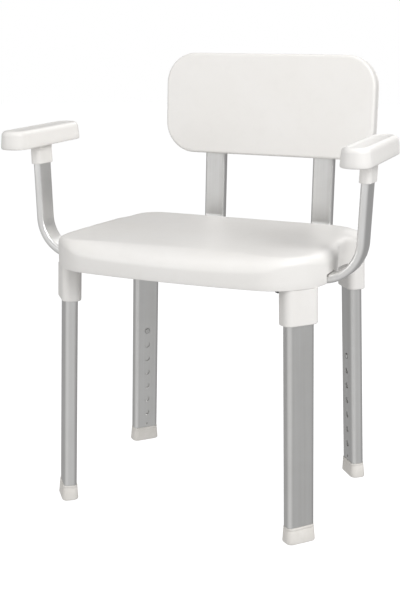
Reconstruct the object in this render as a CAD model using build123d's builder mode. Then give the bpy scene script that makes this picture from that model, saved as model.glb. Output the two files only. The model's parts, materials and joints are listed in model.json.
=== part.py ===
from build123d import *
import os
from math import cos, radians, sin, tan

os.makedirs("parts", exist_ok=True)

# Shower chair. Millimetres, +Z up, the sitter faces -Y, the floor is Z = 0.
# The origin is on the floor, under the middle of the chair's outline.

# ---- driving dimensions ----
chair_depth = 431.4
seat_front_y = -chair_depth / 2
seat_depth = 333.0
seat_rear_y = seat_front_y + seat_depth
seat_top_z = 412.0
seat_skirt_z = 368.0
seat_wall = 3.5
seat_deck = 4.0
seat_front_bow = 15.8
seat_front_corner = 75.0
seat_rear_corner = 36.0
# half widths at the arms, in the hand scoops and at the rear
seat_arm_x = 208.5
seat_scoop_x = 192.0
seat_rear_x = 207.0
# where a hand scoop starts, reaches its depth, leaves it and ends
scoop_start_y = -84.0
scoop_deep_y = -34.0
scoop_leave_y = -8.0
scoop_end_y = 52.0
seat_edge_roll = 16.0

# legs: place on the floor, lean inwards per millimetre of height, turn of the wide face
front_leg_x = 189.3
front_leg_y = -167.2
rear_leg_x = 193.2
rear_leg_y = 98.3
front_lean_x = -0.027
front_lean_y = 0.008
rear_lean_x = -0.035
rear_lean_y = -0.031
leg_turn = 50.0
leg_wide = 42.6
leg_thick = 19.5
leg_corner = 6.2
leg_wall = 1.6
leg_slide_gap = 0.4

# height adjustment: one hole every 25 mm, the button sits in the top one
hole_pitch = 25.0
hole_count = 7
hole_lowest = 52.6
hole_r = 4.9
button_r = 4.3
button_clear = 0.15
button_out = 2.0
button_round = 1.2
button_collar = 1.4
button_collar_r = 5.8
inner_top = 230.0
spring_length = 34.0
spring_past_button = 6.0
spring_slack = 0.1
drain_hole_r = 2.0
drain_hole_height = 31.0

# the feet flare towards the floor; their width and thickness are taken on the floor
foot_wide = 46.8
foot_thick = 25.2
foot_corner = 9.0
foot_flare = 4.0
foot_height = 24.0
foot_sole = 6.0
foot_lip = 0.8
foot_sole_round = 2.0
foot_tube_gap = 0.4
foot_blank_low = -4.0

socket_wide = 54.0
socket_thick = 29.4
socket_corner = 11.0
socket_low = 317.0
socket_lip_round = 2.0
socket_spigot_inset = 3.4
socket_spigot_wall = 2.2
socket_spigot_low = 5.0
socket_flange_wide = 50.0
socket_flange_long = 27.0
socket_flange_y = 20.5
socket_screw_x = 16.0
socket_screw_y = 24.0
tube_top = 378.0
press_clearance = 0.1

# bent flat tubes of the arms and the back
arm_datum_z = 500.0
arm_x = 256.3
arm_lean = 0.039
arm_y = -111.0
arm_wide = 35.0
arm_thick = 12.0
arm_corner = 4.8
arm_bend_r = 56.0
post_x = 97.7
post_y = 192.9
post_lean = 0.0422
post_wide = 36.8
post_thick = 16.2
post_corner = 5.5
post_bend_r = 28.0
tube_wall = 1.5
run_z = 373.0

# receivers under the seat
receiver_gap = 0.4
receiver_wall = 3.4
receiver_deck_z = 386.0
flange_thick = 4.0
boss_z = receiver_deck_z + flange_thick
receiver_corner = 3.0
flange_corner = 5.0
arm_end_x = 102.0
post_end_y = 2.0
clamp_arm_x = 140.0
clamp_post_y = 40.0
arm_receiver_x = 96.0
arm_receiver_long = 92.0
arm_flange_x = 124.0
arm_flange_long = 44.0
arm_flange_wide = 68.0
arm_screw_x = 14.0
arm_screw_y = 27.0
post_receiver_low = -4.0
post_receiver_high = 98.0
post_flange_y = 44.0
post_flange_wide = 66.0
post_flange_long = 70.0
post_screw_x = 27.0
post_screw_y = 26.0
stud_r = 2.95
stud_bore_r = 3.45
nut_bore_r = 3.0
nut_r = 5.7
nut_pocket_r = 5.75
nut_high = 5.0
nut_boss_r = 8.0
nut_boss_high = 5.6
knob_r = 13.5
knob_high = 11.0
knob_lobes = 7
knob_scallop_r = 3.4
knob_scallop_out = 1.8
knob_round = 1.5
knob_gap = 0.8
stud_tip_gap = 0.3

# armrests
pad_x = 258.5
pad_y = -108.5
pad_z = 540.0
pad_rise = 0.03
pad_long = 181.0
pad_wide = 43.0
pad_height = 27.0
pad_corner = 20.0
pad_wall = 2.5
collar_wide = 41.0
collar_thick = 17.6
collar_corner = 7.0
collar_lip = 0.8
collar_low = 510.0
collar_tube_long = 28.0

# backrest
panel_wide = 370.0
panel_high = 169.0
panel_thick = 25.0
panel_corner = 52.0
panel_wall = 3.0
panel_centre_z = 590.0
panel_edge_roll = 6.0
post_behind_panel = 11.3
cover_thick = 2.5
post_top_z = 652.0

panel_screw_heights = (-40.0, 40.0)
cover_screw_x = 150.0
cover_screw_z = 42.0
cover_gap = 0.3
channel_corner = 4.0
channel_round = 1.8
post_screw_long = 28.0
cover_screw_long = 14.0
panel_pilot_deep = 21.0
channel_high = 150.0
channel_mid = channel_high / 2 - panel_high / 2
post_datum_z = 410.0

plate_recess = 2.5
plate_thick = 3.0
plate_gap = 1.1
plate_wide = pad_wide - 2 * (pad_wall + plate_gap)
plate_long = pad_long - 2 * (pad_wall + plate_gap)
plate_corner = 16.4
pad_taper = 5.0
pad_bore_taper = 6.0
pad_edge_roll = 7.0
pad_screw_y = 62.0
pad_screw_long = 14.0
pad_pilot_deep = 12.0

screw_r = 1.9
screw_hole_r = 2.1
screw_head_r = 3.8
screw_head_high = 2.4
screw_head_round = 0.9
screw_cross_long = 4.2
screw_cross_wide = 0.9
screw_cross_deep = 1.2
seat_screw_long = 16.0
pilot_r = 1.95
pilot_cover = 1.0
boss_r = 4.6

# ribs under the seat's deck, and the mouths in its skirt
rib_thick = 2.2
rib_high = 8.0
cross_rib_long = 340.0
cross_rib_y = 60.0
long_rib_long = 260.0
long_rib_x = 55.0
long_rib_y = -45.0
mouth_clear = 0.8
# the arm tube already rises a little where it leaves the skirt
mouth_rise = 1.6
mouth_x = 200.0
mouth_deep = 40.0
weld = 0.5


def save(piece, name):
    """Label one finished piece and write its file."""
    piece.label = name
    export_step(piece, f"parts/{name}.step")


def screw_along(plane, shank):
    """A pan-head screw: the head's underside lies in the plane, the shank runs along its normal."""
    with BuildPart() as screw:
        with BuildSketch(plane):
            Circle(screw_r)
        extrude(amount=shank)
        with BuildSketch(plane):
            Circle(screw_head_r)
        extrude(amount=-screw_head_high)
        fillet(screw.faces().sort_by(plane_axis(plane))[0].edges(), screw_head_round)
        with BuildSketch(plane.offset(-screw_head_high)):
            Rectangle(screw_cross_long, screw_cross_wide)
            Rectangle(screw_cross_wide, screw_cross_long)
        extrude(amount=screw_cross_deep, mode=Mode.SUBTRACT)
    return screw.part


def plane_axis(plane):
    """The axis along a plane's normal, for sorting faces."""
    return Axis(plane.origin, plane.z_dir)


def snap_spring(plane, length, spread, strip_wide=8.0, strip=0.6):
    """A hairpin strip spring behind the plane: one arm touches it, the other lies spread away."""
    bend_r = spread / 2 - strip / 2
    with BuildPart() as spring:
        with BuildSketch(Plane(plane.origin, x_dir=plane.x_dir, z_dir=plane.y_dir)):
            with BuildLine():
                free_arm = Line((length, strip / 2), (0, strip / 2))
                turn = RadiusArc(free_arm @ 1, (0, spread - strip / 2), bend_r)
                Line(turn @ 1, (length, spread - strip / 2))
            trace(line_width=strip)
        extrude(amount=strip_wide / 2, both=True)
    return spring.part


def lock_button(plane, reach):
    """A button with a collar behind the tube's wall: the collar's outer face lies in the plane."""
    with BuildPart() as button:
        with BuildSketch(plane):
            Circle(button_r)
        extrude(amount=reach)
        fillet(button.faces().sort_by(plane_axis(plane))[-1].edges(), button_round)
        with BuildSketch(plane):
            Circle(button_collar_r)
        extrude(amount=-button_collar)
    return button.part


# ---- seat shell ----
def s_bend(start, end):
    """Two equal arcs between points, both ends heading straight back."""
    middle = ((start[0] + end[0]) / 2, (start[1] + end[1]) / 2)
    first = TangentArc(start, middle, tangent=(0, 1))
    TangentArc(first @ 1, end, tangent=first % 1)


def seat_outline(inset):
    """The seat's plan: bowed front, a hand scoop in each side, straight rear."""
    corner_y = seat_front_y + seat_front_bow
    with BuildSketch() as outline:
        with BuildLine():
            ThreePointArc((-seat_arm_x, corner_y), (0, seat_front_y), (seat_arm_x, corner_y))
            Line((-seat_rear_x, seat_rear_y), (seat_rear_x, seat_rear_y))
            for side in (-1, 1):
                beside_arm = (side * seat_arm_x, scoop_start_y)
                scoop_front = (side * seat_scoop_x, scoop_deep_y)
                scoop_back = (side * seat_scoop_x, scoop_leave_y)
                beside_back = (side * seat_rear_x, scoop_end_y)
                Line((side * seat_arm_x, corner_y), beside_arm)
                s_bend(beside_arm, scoop_front)
                Line(scoop_front, scoop_back)
                s_bend(scoop_back, beside_back)
                Line(beside_back, (side * seat_rear_x, seat_rear_y))
        make_face()
        fillet(outline.vertices().group_by(Axis.Y)[0], seat_front_corner)
        fillet(outline.vertices().group_by(Axis.Y)[-1], seat_rear_corner)
        if inset:
            offset(amount=-inset, mode=Mode.REPLACE)
    return outline.sketch


leg_places = {
    "front_left": (-1, front_leg_x, front_leg_y, front_lean_x, front_lean_y, -leg_turn),
    "front_right": (1, front_leg_x, front_leg_y, front_lean_x, front_lean_y, leg_turn),
    "rear_left": (-1, rear_leg_x, rear_leg_y, rear_lean_x, rear_lean_y, 180 + leg_turn),
    "rear_right": (1, rear_leg_x, rear_leg_y, rear_lean_x, rear_lean_y, 180 - leg_turn),
}
sides = {"left": -1, "right": 1}


def leg_plane(place):
    """The leg's own frame: X along its wide face, Y towards the chair's middle, Z up the leg."""
    side, x, y, lean_x, lean_y, turn = leg_places[place]
    return Plane(
        origin=(side * x, y, 0),
        x_dir=(cos(radians(turn)), sin(radians(turn)), 0),
        z_dir=(side * lean_x, lean_y, 1),
    )


def leg_point(place, height):
    """Where a leg's axis is at a height."""
    side, x, y, lean_x, lean_y, turn = leg_places[place]
    return (side * (x + lean_x * height), y + lean_y * height)


def flange_plane(place):
    """A level frame at the socket flange, turned like the leg."""
    turn = leg_places[place][5]
    x, y = leg_point(place, boss_z)
    return Plane(origin=(x, y, receiver_deck_z), x_dir=(cos(radians(turn)), sin(radians(turn)), 0))


def four_spots(x, y):
    """The four corners of a screw pattern."""
    return [(sx * x, sy * y) for sx in (-1, 1) for sy in (-1, 1)]


socket_screw_spots = [(-socket_screw_x, socket_screw_y), (socket_screw_x, socket_screw_y)]
arm_screw_spots = four_spots(arm_screw_x, arm_screw_y)
post_screw_spots = four_spots(post_screw_x, post_screw_y)
pad_screw_spots = [(0, -pad_screw_y), (0, pad_screw_y)]


def receiver_planes():
    """A level frame at each receiver's flange, with its screw places."""
    frames = []
    for side in sides.values():
        frames.append((Plane((side * arm_flange_x, arm_y, receiver_deck_z)), arm_screw_spots))
        frames.append((Plane((side * post_x, post_flange_y, receiver_deck_z)), post_screw_spots))
    return frames


screw_frames = [(flange_plane(place), socket_screw_spots) for place in leg_places]
screw_frames += receiver_planes()
deck_under_z = seat_top_z - seat_deck

with BuildPart() as seat_shell:
    add(extrude(Plane.XY.offset(seat_skirt_z) * seat_outline(0), seat_top_z - seat_skirt_z))
    fillet(seat_shell.faces().sort_by(Axis.Z)[-1].edges(), seat_edge_roll)
    with BuildPart(mode=Mode.PRIVATE) as hollow:
        add(extrude(Plane.XY.offset(seat_skirt_z) * seat_outline(seat_wall), deck_under_z - seat_skirt_z))
        fillet(hollow.faces().sort_by(Axis.Z)[-1].edges(), seat_edge_roll - seat_wall)
    add(hollow.part, mode=Mode.SUBTRACT)
    # mouths in the skirt for the arm tubes and the back posts
    with BuildSketch(Plane.XY.offset(seat_skirt_z)):
        with Locations((-mouth_x, arm_y), (mouth_x, arm_y)):
            Rectangle(mouth_deep, arm_wide + 2 * mouth_clear)
    extrude(amount=run_z + arm_thick / 2 + mouth_clear + mouth_rise - seat_skirt_z, mode=Mode.SUBTRACT)
    with BuildSketch(Plane.XY.offset(seat_skirt_z)):
        with Locations((-post_x, seat_rear_y), (post_x, seat_rear_y)):
            Rectangle(post_wide + 2 * mouth_clear, mouth_deep)
    extrude(amount=run_z + post_thick / 2 + mouth_clear - seat_skirt_z, mode=Mode.SUBTRACT)
save(seat_shell.part, "seat_shell")

with BuildPart() as seat_stiffening:
    # ribs under the deck
    with BuildSketch(Plane.XY.offset(deck_under_z - rib_high)):
        with Locations((0, -cross_rib_y), (0, cross_rib_y)):
            Rectangle(cross_rib_long, rib_thick)
        with Locations((-long_rib_x, long_rib_y), (0, long_rib_y), (long_rib_x, long_rib_y)):
            Rectangle(rib_thick, long_rib_long)
    extrude(amount=rib_high)
    # screw bosses under the deck, with their pilots
    for frame, spots in screw_frames:
        with BuildSketch(frame.offset(flange_thick)):
            with Locations(*spots):
                Circle(boss_r)
        extrude(amount=deck_under_z - boss_z)
    for frame, spots in screw_frames:
        with BuildSketch(frame.offset(flange_thick)):
            with Locations(*spots):
                Circle(pilot_r)
        extrude(amount=deck_under_z - boss_z - pilot_cover, mode=Mode.SUBTRACT)
    add(seat_shell.part, mode=Mode.SUBTRACT)
save(seat_stiffening.part, "seat_ribs_and_bosses")

# ---- legs ----
inner_wide = leg_wide - 2 * (leg_wall + leg_slide_gap)
inner_thick = leg_thick - 2 * (leg_wall + leg_slide_gap)
inner_corner = leg_corner - leg_wall - leg_slide_gap
spigot_wide = socket_wide - 2 * socket_spigot_inset
spigot_thick = leg_thick + 2 * socket_spigot_wall
spigot_corner = leg_corner + socket_spigot_wall
inner_bore_corner = inner_corner - tube_wall + 0.2
button_height = hole_lowest + hole_pitch * (hole_count - 1)
tube_low = foot_height + foot_tube_gap
hole_heights = [hole_lowest + hole_pitch * step for step in range(hole_count)]
# the width that the flare adds between the floor and the low end of the foot's blank
foot_blank_grow = 2 * tan(radians(foot_flare)) * -foot_blank_low

for place in leg_places:
    frame = leg_plane(place)
    inner_face = Plane(frame.origin, x_dir=frame.x_dir, z_dir=frame.y_dir)

    with BuildPart() as tube:
        with BuildSketch(frame.offset(tube_low)):
            RectangleRounded(leg_wide, leg_thick, leg_corner)
            RectangleRounded(
                leg_wide - 2 * leg_wall, leg_thick - 2 * leg_wall, leg_corner - leg_wall, mode=Mode.SUBTRACT
            )
        extrude(amount=tube_top - tube_low)
        with BuildSketch(inner_face):
            with Locations(*[(0, -height) for height in hole_heights]):
                Circle(hole_r)
            with Locations((0, -drain_hole_height)):
                Circle(drain_hole_r)
        extrude(amount=leg_thick, mode=Mode.SUBTRACT)
    save(tube.part, f"{place}_outer_leg")

    with BuildPart() as inner_leg:
        with BuildSketch(frame.offset(foot_sole)):
            RectangleRounded(inner_wide, inner_thick, inner_corner)
            RectangleRounded(
                inner_wide - 2 * tube_wall, inner_thick - 2 * tube_wall, inner_bore_corner, mode=Mode.SUBTRACT
            )
        extrude(amount=inner_top - foot_sole)
        with BuildSketch(inner_face):
            with Locations((0, -button_height)):
                Circle(button_r + button_clear)
        extrude(amount=leg_thick, mode=Mode.SUBTRACT)
    save(inner_leg.part, f"{place}_inner_leg")

    with BuildPart() as foot:
        with BuildSketch(frame.offset(foot_blank_low)):
            RectangleRounded(foot_wide + foot_blank_grow, foot_thick + foot_blank_grow, foot_corner)
        extrude(amount=foot_height - foot_blank_low, taper=foot_flare)
        split(bisect_by=Plane.XY, keep=Keep.TOP)
        fillet(foot.faces().sort_by(Axis.Z)[-1].edges(), foot_lip)
        fillet(foot.faces().sort_by(Axis.Z)[0].edges(), foot_sole_round)
        with BuildSketch(frame.offset(foot_sole)):
            RectangleRounded(inner_wide, inner_thick, inner_corner)
        extrude(amount=foot_height, mode=Mode.SUBTRACT)
    save(foot.part, f"{place}_foot")

    collar_face = inner_thick / 2 - tube_wall
    button_plane = Plane(
        frame.from_local_coords((0, collar_face, button_height)), x_dir=frame.x_dir, z_dir=frame.y_dir
    )
    button = lock_button(button_plane, leg_thick / 2 + button_out - collar_face)
    save(button, f"{place}_leg_button")

    spring_turn_height = button_height + spring_past_button - spring_length
    spring_plane = Plane(
        frame.from_local_coords((0, collar_face - button_collar, spring_turn_height)),
        x_dir=frame.z_dir,
        z_dir=frame.y_dir,
    )
    spring = snap_spring(spring_plane, spring_length, 2 * collar_face - button_collar - spring_slack)
    save(spring, f"{place}_leg_spring")

    with BuildPart() as socket:
        with BuildSketch(frame.offset(socket_low)):
            RectangleRounded(socket_wide, socket_thick, socket_corner)
        extrude(amount=deck_under_z - socket_low)
        split(bisect_by=Plane.XY.offset(seat_skirt_z), keep=Keep.BOTTOM)
        fillet(socket.faces().sort_by(plane_axis(frame))[0].edges(), socket_lip_round)
        with BuildSketch(frame.offset(socket_low + socket_spigot_low)):
            RectangleRounded(spigot_wide, spigot_thick, spigot_corner)
        extrude(amount=seat_top_z - socket_low)
        split(bisect_by=Plane.XY.offset(boss_z), keep=Keep.BOTTOM)
        with BuildSketch(flange_plane(place)):
            with Locations((0, socket_flange_y)):
                RectangleRounded(socket_flange_wide, socket_flange_long, flange_corner)
        extrude(amount=flange_thick)
        with BuildSketch(frame):
            RectangleRounded(
                leg_wide + 2 * press_clearance, leg_thick + 2 * press_clearance, leg_corner + press_clearance
            )
        extrude(amount=tube_top, mode=Mode.SUBTRACT)
        with BuildSketch(flange_plane(place)):
            with Locations(*socket_screw_spots):
                Circle(screw_hole_r)
        extrude(amount=flange_thick, mode=Mode.SUBTRACT)
        # the spigot is flatted where it lies against the skirt
        add(seat_shell.part, mode=Mode.SUBTRACT)
    save(socket.part, f"{place}_leg_socket")

# ---- screws into the seat ----
for name, frames in (("socket_screws", screw_frames[:4]), ("receiver_screws", screw_frames[4:])):
    with BuildPart() as screws:
        for frame, spots in frames:
            for spot in spots:
                add(screw_along(Plane(frame.from_local_coords((*spot, 0))), seat_screw_long))
    save(screws.part, name)

# ---- bent tubes, their receivers and clamps ----
def bent_tube(path, section_plane, wide, thick, corner):
    """A flat tube swept along a path; the section's X is the wide way."""
    with BuildPart() as swept:
        with BuildSketch(section_plane):
            RectangleRounded(wide, thick, corner)
        sweep(path=path)
        with BuildSketch(section_plane):
            RectangleRounded(wide - 2 * tube_wall, thick - 2 * tube_wall, corner - tube_wall)
        sweep(path=path, mode=Mode.SUBTRACT)
    return swept.part


def receiver_floor_z(thick):
    """The underside of a receiver for a tube of this thickness."""
    return run_z - thick / 2 - receiver_gap - receiver_wall


def tube_receiver(mouth, length, section, flange_place, flange_size, spots, clamp_place):
    """A tunnel block with a screw flange on top and a nut boss below."""
    wide, thick, corner = section
    low = receiver_floor_z(thick)
    block_plane = Plane(
        mouth.origin + Vector(0, 0, (low + receiver_deck_z) / 2 - run_z), x_dir=mouth.x_dir, z_dir=mouth.z_dir
    )
    boss_plane = Plane((*clamp_place, low - nut_boss_high))
    flange_plane_here = Plane((*flange_place, receiver_deck_z))
    with BuildPart() as receiver:
        with BuildSketch(block_plane):
            RectangleRounded(
                wide + 2 * (receiver_gap + receiver_wall), receiver_deck_z - low, receiver_corner
            )
        extrude(amount=length)
        with BuildSketch(flange_plane_here):
            RectangleRounded(*flange_size, flange_corner)
        extrude(amount=flange_thick)
        with BuildSketch(boss_plane):
            Circle(nut_boss_r)
        extrude(amount=nut_boss_high + weld)
        with BuildSketch(mouth):
            RectangleRounded(wide + 2 * receiver_gap, thick + 2 * receiver_gap, corner + receiver_gap)
        extrude(amount=length, mode=Mode.SUBTRACT)
        with BuildSketch(boss_plane):
            RegularPolygon(nut_pocket_r, 6)
        extrude(amount=nut_high, mode=Mode.SUBTRACT)
        with BuildSketch(boss_plane):
            Circle(stud_bore_r)
        extrude(amount=nut_boss_high + receiver_wall + receiver_gap, mode=Mode.SUBTRACT)
        with BuildSketch(flange_plane_here):
            with Locations(*spots):
                Circle(screw_hole_r)
        extrude(amount=flange_thick, mode=Mode.SUBTRACT)
    return receiver.part


def clamp_knob(place, thick):
    """A lobed knob whose stud presses on the tube from below."""
    top_z = receiver_floor_z(thick) - nut_boss_high - knob_gap
    with BuildPart() as knob:
        with BuildSketch(Plane((*place, top_z - knob_high))):
            Circle(knob_r)
            with PolarLocations(knob_r + knob_scallop_out, knob_lobes):
                Circle(knob_scallop_r, mode=Mode.SUBTRACT)
        extrude(amount=knob_high)
        fillet(knob.faces().sort_by(Axis.Z)[0].edges(), knob_round)
        with BuildSketch(Plane((*place, top_z))):
            Circle(stud_r)
        extrude(amount=run_z - thick / 2 - stud_tip_gap - top_z)
    return knob.part


arm_section = (arm_wide, arm_thick, arm_corner)
post_section = (post_wide, post_thick, post_corner)
arm_top_z = collar_low + collar_tube_long
clamps = {}


def arm_axis_x(height):
    """How far out the arm tube's leaning axis is at a height."""
    return arm_x + arm_lean * (height - arm_datum_z)


for name, side in sides.items():
    top = (side * arm_axis_x(arm_top_z), arm_top_z)
    knee = (side * arm_axis_x(run_z), run_z)
    with BuildLine(Plane((0, arm_y, 0), x_dir=(1, 0, 0), z_dir=(0, -1, 0))) as arm_path:
        FilletPolyline((side * arm_end_x, run_z), knee, top, radius=arm_bend_r)
    section = Plane((side * arm_end_x, arm_y, run_z), x_dir=(0, 1, 0), z_dir=(side, 0, 0))
    arm_tube = bent_tube(arm_path.wire(), section, *arm_section)
    save(arm_tube, f"{name}_arm_tube")

    arm_clamp = (side * clamp_arm_x, arm_y)
    receiver = tube_receiver(
        Plane((side * arm_receiver_x, arm_y, run_z), x_dir=(0, 1, 0), z_dir=(side, 0, 0)),
        arm_receiver_long,
        arm_section,
        (side * arm_flange_x, arm_y),
        (arm_flange_long, arm_flange_wide),
        arm_screw_spots,
        arm_clamp,
    )
    save(receiver, f"{name}_arm_receiver")
    save(clamp_knob(arm_clamp, arm_thick), f"{name}_arm_clamp_knob")
    clamps[arm_clamp] = arm_thick

    # armrest: bracket, pad and its two screws
    lean_frame = Plane(
        origin=(side * arm_axis_x(collar_low), arm_y, collar_low),
        x_dir=(0, 1, 0),
        z_dir=(side * arm_lean, 0, 1),
    )
    pad_frame = Plane(origin=(side * pad_x, pad_y, pad_z), x_dir=(1, 0, 0), z_dir=(0, -pad_rise, 1))
    plate_frame = pad_frame.offset(plate_recess)
    with BuildPart() as bracket:
        with BuildSketch(lean_frame):
            RectangleRounded(collar_wide, collar_thick, collar_corner)
        extrude(amount=pad_z + plate_thick - collar_low)
        fillet(bracket.faces().sort_by(Axis.Z)[0].edges(), collar_lip)
        with BuildSketch(plate_frame):
            RectangleRounded(plate_wide, plate_long, plate_corner)
        extrude(amount=plate_thick)
        with BuildSketch(lean_frame):
            RectangleRounded(
                arm_wide + 2 * press_clearance, arm_thick + 2 * press_clearance, arm_corner + press_clearance
            )
        extrude(amount=arm_top_z - collar_low + press_clearance, mode=Mode.SUBTRACT)
        with BuildSketch(plate_frame):
            with Locations(*pad_screw_spots):
                Circle(screw_hole_r)
        extrude(amount=plate_thick, mode=Mode.SUBTRACT)
    save(bracket.part, f"{name}_armrest_bracket")

    with BuildPart() as pad:
        with BuildSketch(pad_frame):
            RectangleRounded(pad_wide, pad_long, pad_corner)
        extrude(amount=pad_height, taper=pad_taper)
        fillet(pad.faces().sort_by(Axis.Z)[-1].edges(), pad_edge_roll)
        with BuildSketch(pad_frame):
            RectangleRounded(pad_wide - 2 * pad_wall, pad_long - 2 * pad_wall, pad_corner - pad_wall)
        extrude(amount=pad_height - pad_wall, taper=pad_bore_taper, mode=Mode.SUBTRACT)
        with BuildSketch(plate_frame.offset(plate_thick)):
            with Locations(*pad_screw_spots):
                Circle(boss_r)
        extrude(amount=pad_height - pad_wall - plate_recess - plate_thick + weld)
        with BuildSketch(plate_frame.offset(plate_thick)):
            with Locations(*pad_screw_spots):
                Circle(pilot_r)
        extrude(amount=pad_pilot_deep, mode=Mode.SUBTRACT)
    save(pad.part, f"{name}_armrest_pad")

    with BuildPart() as screws:
        for spot in pad_screw_spots:
            seat_at = plate_frame.from_local_coords((*spot, 0))
            add(screw_along(Plane(seat_at, x_dir=(1, 0, 0), z_dir=plate_frame.z_dir), pad_screw_long))
    save(screws.part, f"{name}_armrest_screws")

# ---- back posts ----
post_foot_y = post_y + post_lean * (run_z - post_datum_z)
post_top_y = post_y + post_lean * (post_top_z - post_datum_z)
panel_frame = Plane(
    origin=(0, post_y + post_lean * (panel_centre_z - post_datum_z) - post_behind_panel, panel_centre_z),
    x_dir=(1, 0, 0),
    z_dir=(0, -1, post_lean),
)
channel_wide = post_wide + 2 * receiver_gap
channel_back = -post_behind_panel - post_thick / 2 - receiver_gap
channel_outer = channel_back - cover_thick
post_front = -post_behind_panel + post_thick / 2

for name, side in sides.items():
    with BuildLine(Plane((side * post_x, 0, 0), x_dir=(0, 1, 0), z_dir=(1, 0, 0))) as post_path:
        FilletPolyline(
            (post_end_y, run_z), (post_foot_y, run_z), (post_top_y, post_top_z), radius=post_bend_r
        )
    section = Plane((side * post_x, post_end_y, run_z), x_dir=(1, 0, 0), z_dir=(0, 1, 0))
    with BuildPart() as post:
        add(bent_tube(post_path.wire(), section, *post_section))
        with BuildSketch(panel_frame.offset(channel_outer)):
            with Locations(*[(side * post_x, height) for height in panel_screw_heights]):
                Circle(screw_hole_r)
        extrude(amount=2 * post_thick, mode=Mode.SUBTRACT)
    save(post.part, f"{name}_back_post")

    post_clamp = (side * post_x, clamp_post_y)
    receiver = tube_receiver(
        Plane((side * post_x, post_receiver_low, run_z), x_dir=(1, 0, 0), z_dir=(0, 1, 0)),
        post_receiver_high - post_receiver_low,
        post_section,
        (side * post_x, post_flange_y),
        (post_flange_wide, post_flange_long),
        post_screw_spots,
        post_clamp,
    )
    save(receiver, f"{name}_back_receiver")
    save(clamp_knob(post_clamp, post_thick), f"{name}_back_clamp_knob")
    clamps[post_clamp] = post_thick

with BuildPart() as clamp_nuts:
    for place, thick in clamps.items():
        with BuildSketch(Plane((*place, receiver_floor_z(thick) - nut_boss_high))):
            RegularPolygon(nut_r, 6)
            Circle(nut_bore_r, mode=Mode.SUBTRACT)
        extrude(amount=nut_high)
save(clamp_nuts.part, "clamp_nuts")

# ---- backrest ----
back_screw_spots = [(sx * post_x, height) for sx in (-1, 1) for height in panel_screw_heights]
cover_screw_spots = four_spots(cover_screw_x, cover_screw_z)
panel_back = -panel_thick / 2
panel_inside = panel_thick / 2 - panel_wall

with BuildPart() as front_panel:
    with BuildSketch(panel_frame.offset(panel_back)):
        RectangleRounded(panel_wide, panel_high, panel_corner)
    extrude(amount=panel_thick)
    fillet(front_panel.faces().sort_by(plane_axis(panel_frame))[-1].edges(), panel_edge_roll)
    with BuildSketch(panel_frame.offset(panel_back)):
        RectangleRounded(panel_wide - 2 * panel_wall, panel_high - 2 * panel_wall, panel_corner - panel_wall)
    extrude(amount=panel_thick - panel_wall, mode=Mode.SUBTRACT)
    # slots in the lower rim where the posts run in
    with BuildSketch(panel_frame.offset(panel_back)):
        with Locations((-post_x, -panel_high / 2), (post_x, -panel_high / 2)):
            Rectangle(channel_wide, 3 * panel_wall)
    extrude(amount=post_front + receiver_gap - panel_back, mode=Mode.SUBTRACT)
    with BuildSketch(panel_frame.offset(post_front + press_clearance)):
        with Locations(*back_screw_spots):
            Circle(boss_r)
    extrude(amount=panel_inside - post_front + weld)
    with BuildSketch(panel_frame.offset(panel_back + cover_thick)):
        with Locations(*cover_screw_spots):
            Circle(boss_r)
    extrude(amount=panel_inside - panel_back - cover_thick + weld)
    with BuildSketch(panel_frame.offset(panel_back)):
        with Locations(*back_screw_spots, *cover_screw_spots):
            Circle(pilot_r)
    extrude(amount=panel_pilot_deep, mode=Mode.SUBTRACT)
save(front_panel.part, "backrest_front_panel")

with BuildPart() as rear_cover:
    with BuildSketch(panel_frame.offset(panel_back)):
        RectangleRounded(
            panel_wide - 2 * (panel_wall + cover_gap),
            panel_high - 2 * (panel_wall + cover_gap),
            panel_corner - panel_wall - cover_gap,
        )
    extrude(amount=cover_thick)
    with BuildSketch(panel_frame.offset(channel_outer)):
        with Locations((-post_x, channel_mid), (post_x, channel_mid)):
            RectangleRounded(channel_wide + 2 * cover_thick, channel_high, channel_corner)
    extrude(amount=panel_back - channel_outer)
    fillet(rear_cover.faces().sort_by(plane_axis(panel_frame))[0:2].edges(), channel_round)
    with BuildSketch(panel_frame.offset(channel_back)):
        with Locations((-post_x, channel_mid - cover_thick), (post_x, channel_mid - cover_thick)):
            Rectangle(channel_wide, channel_high)
    extrude(amount=panel_thick, mode=Mode.SUBTRACT)
    with BuildSketch(panel_frame.offset(channel_outer)):
        with Locations(*back_screw_spots, *cover_screw_spots):
            Circle(screw_hole_r)
    extrude(amount=panel_thick, mode=Mode.SUBTRACT)
save(rear_cover.part, "backrest_rear_cover")

with BuildPart() as screws:
    for spots, depth, shank in (
        (back_screw_spots, channel_outer, post_screw_long),
        (cover_screw_spots, panel_back, cover_screw_long),
    ):
        for spot in spots:
            seat_at = panel_frame.from_local_coords((*spot, depth))
            add(screw_along(Plane(seat_at, x_dir=(1, 0, 0), z_dir=panel_frame.z_dir), shank))
save(screws.part, "backrest_screws")
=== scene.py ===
"""The looks of the shower chair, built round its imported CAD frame. Metres, +Z up, the sitter faces -Y."""

import json
import math

import bmesh
import bpy
from mathutils import Matrix, Vector


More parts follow.
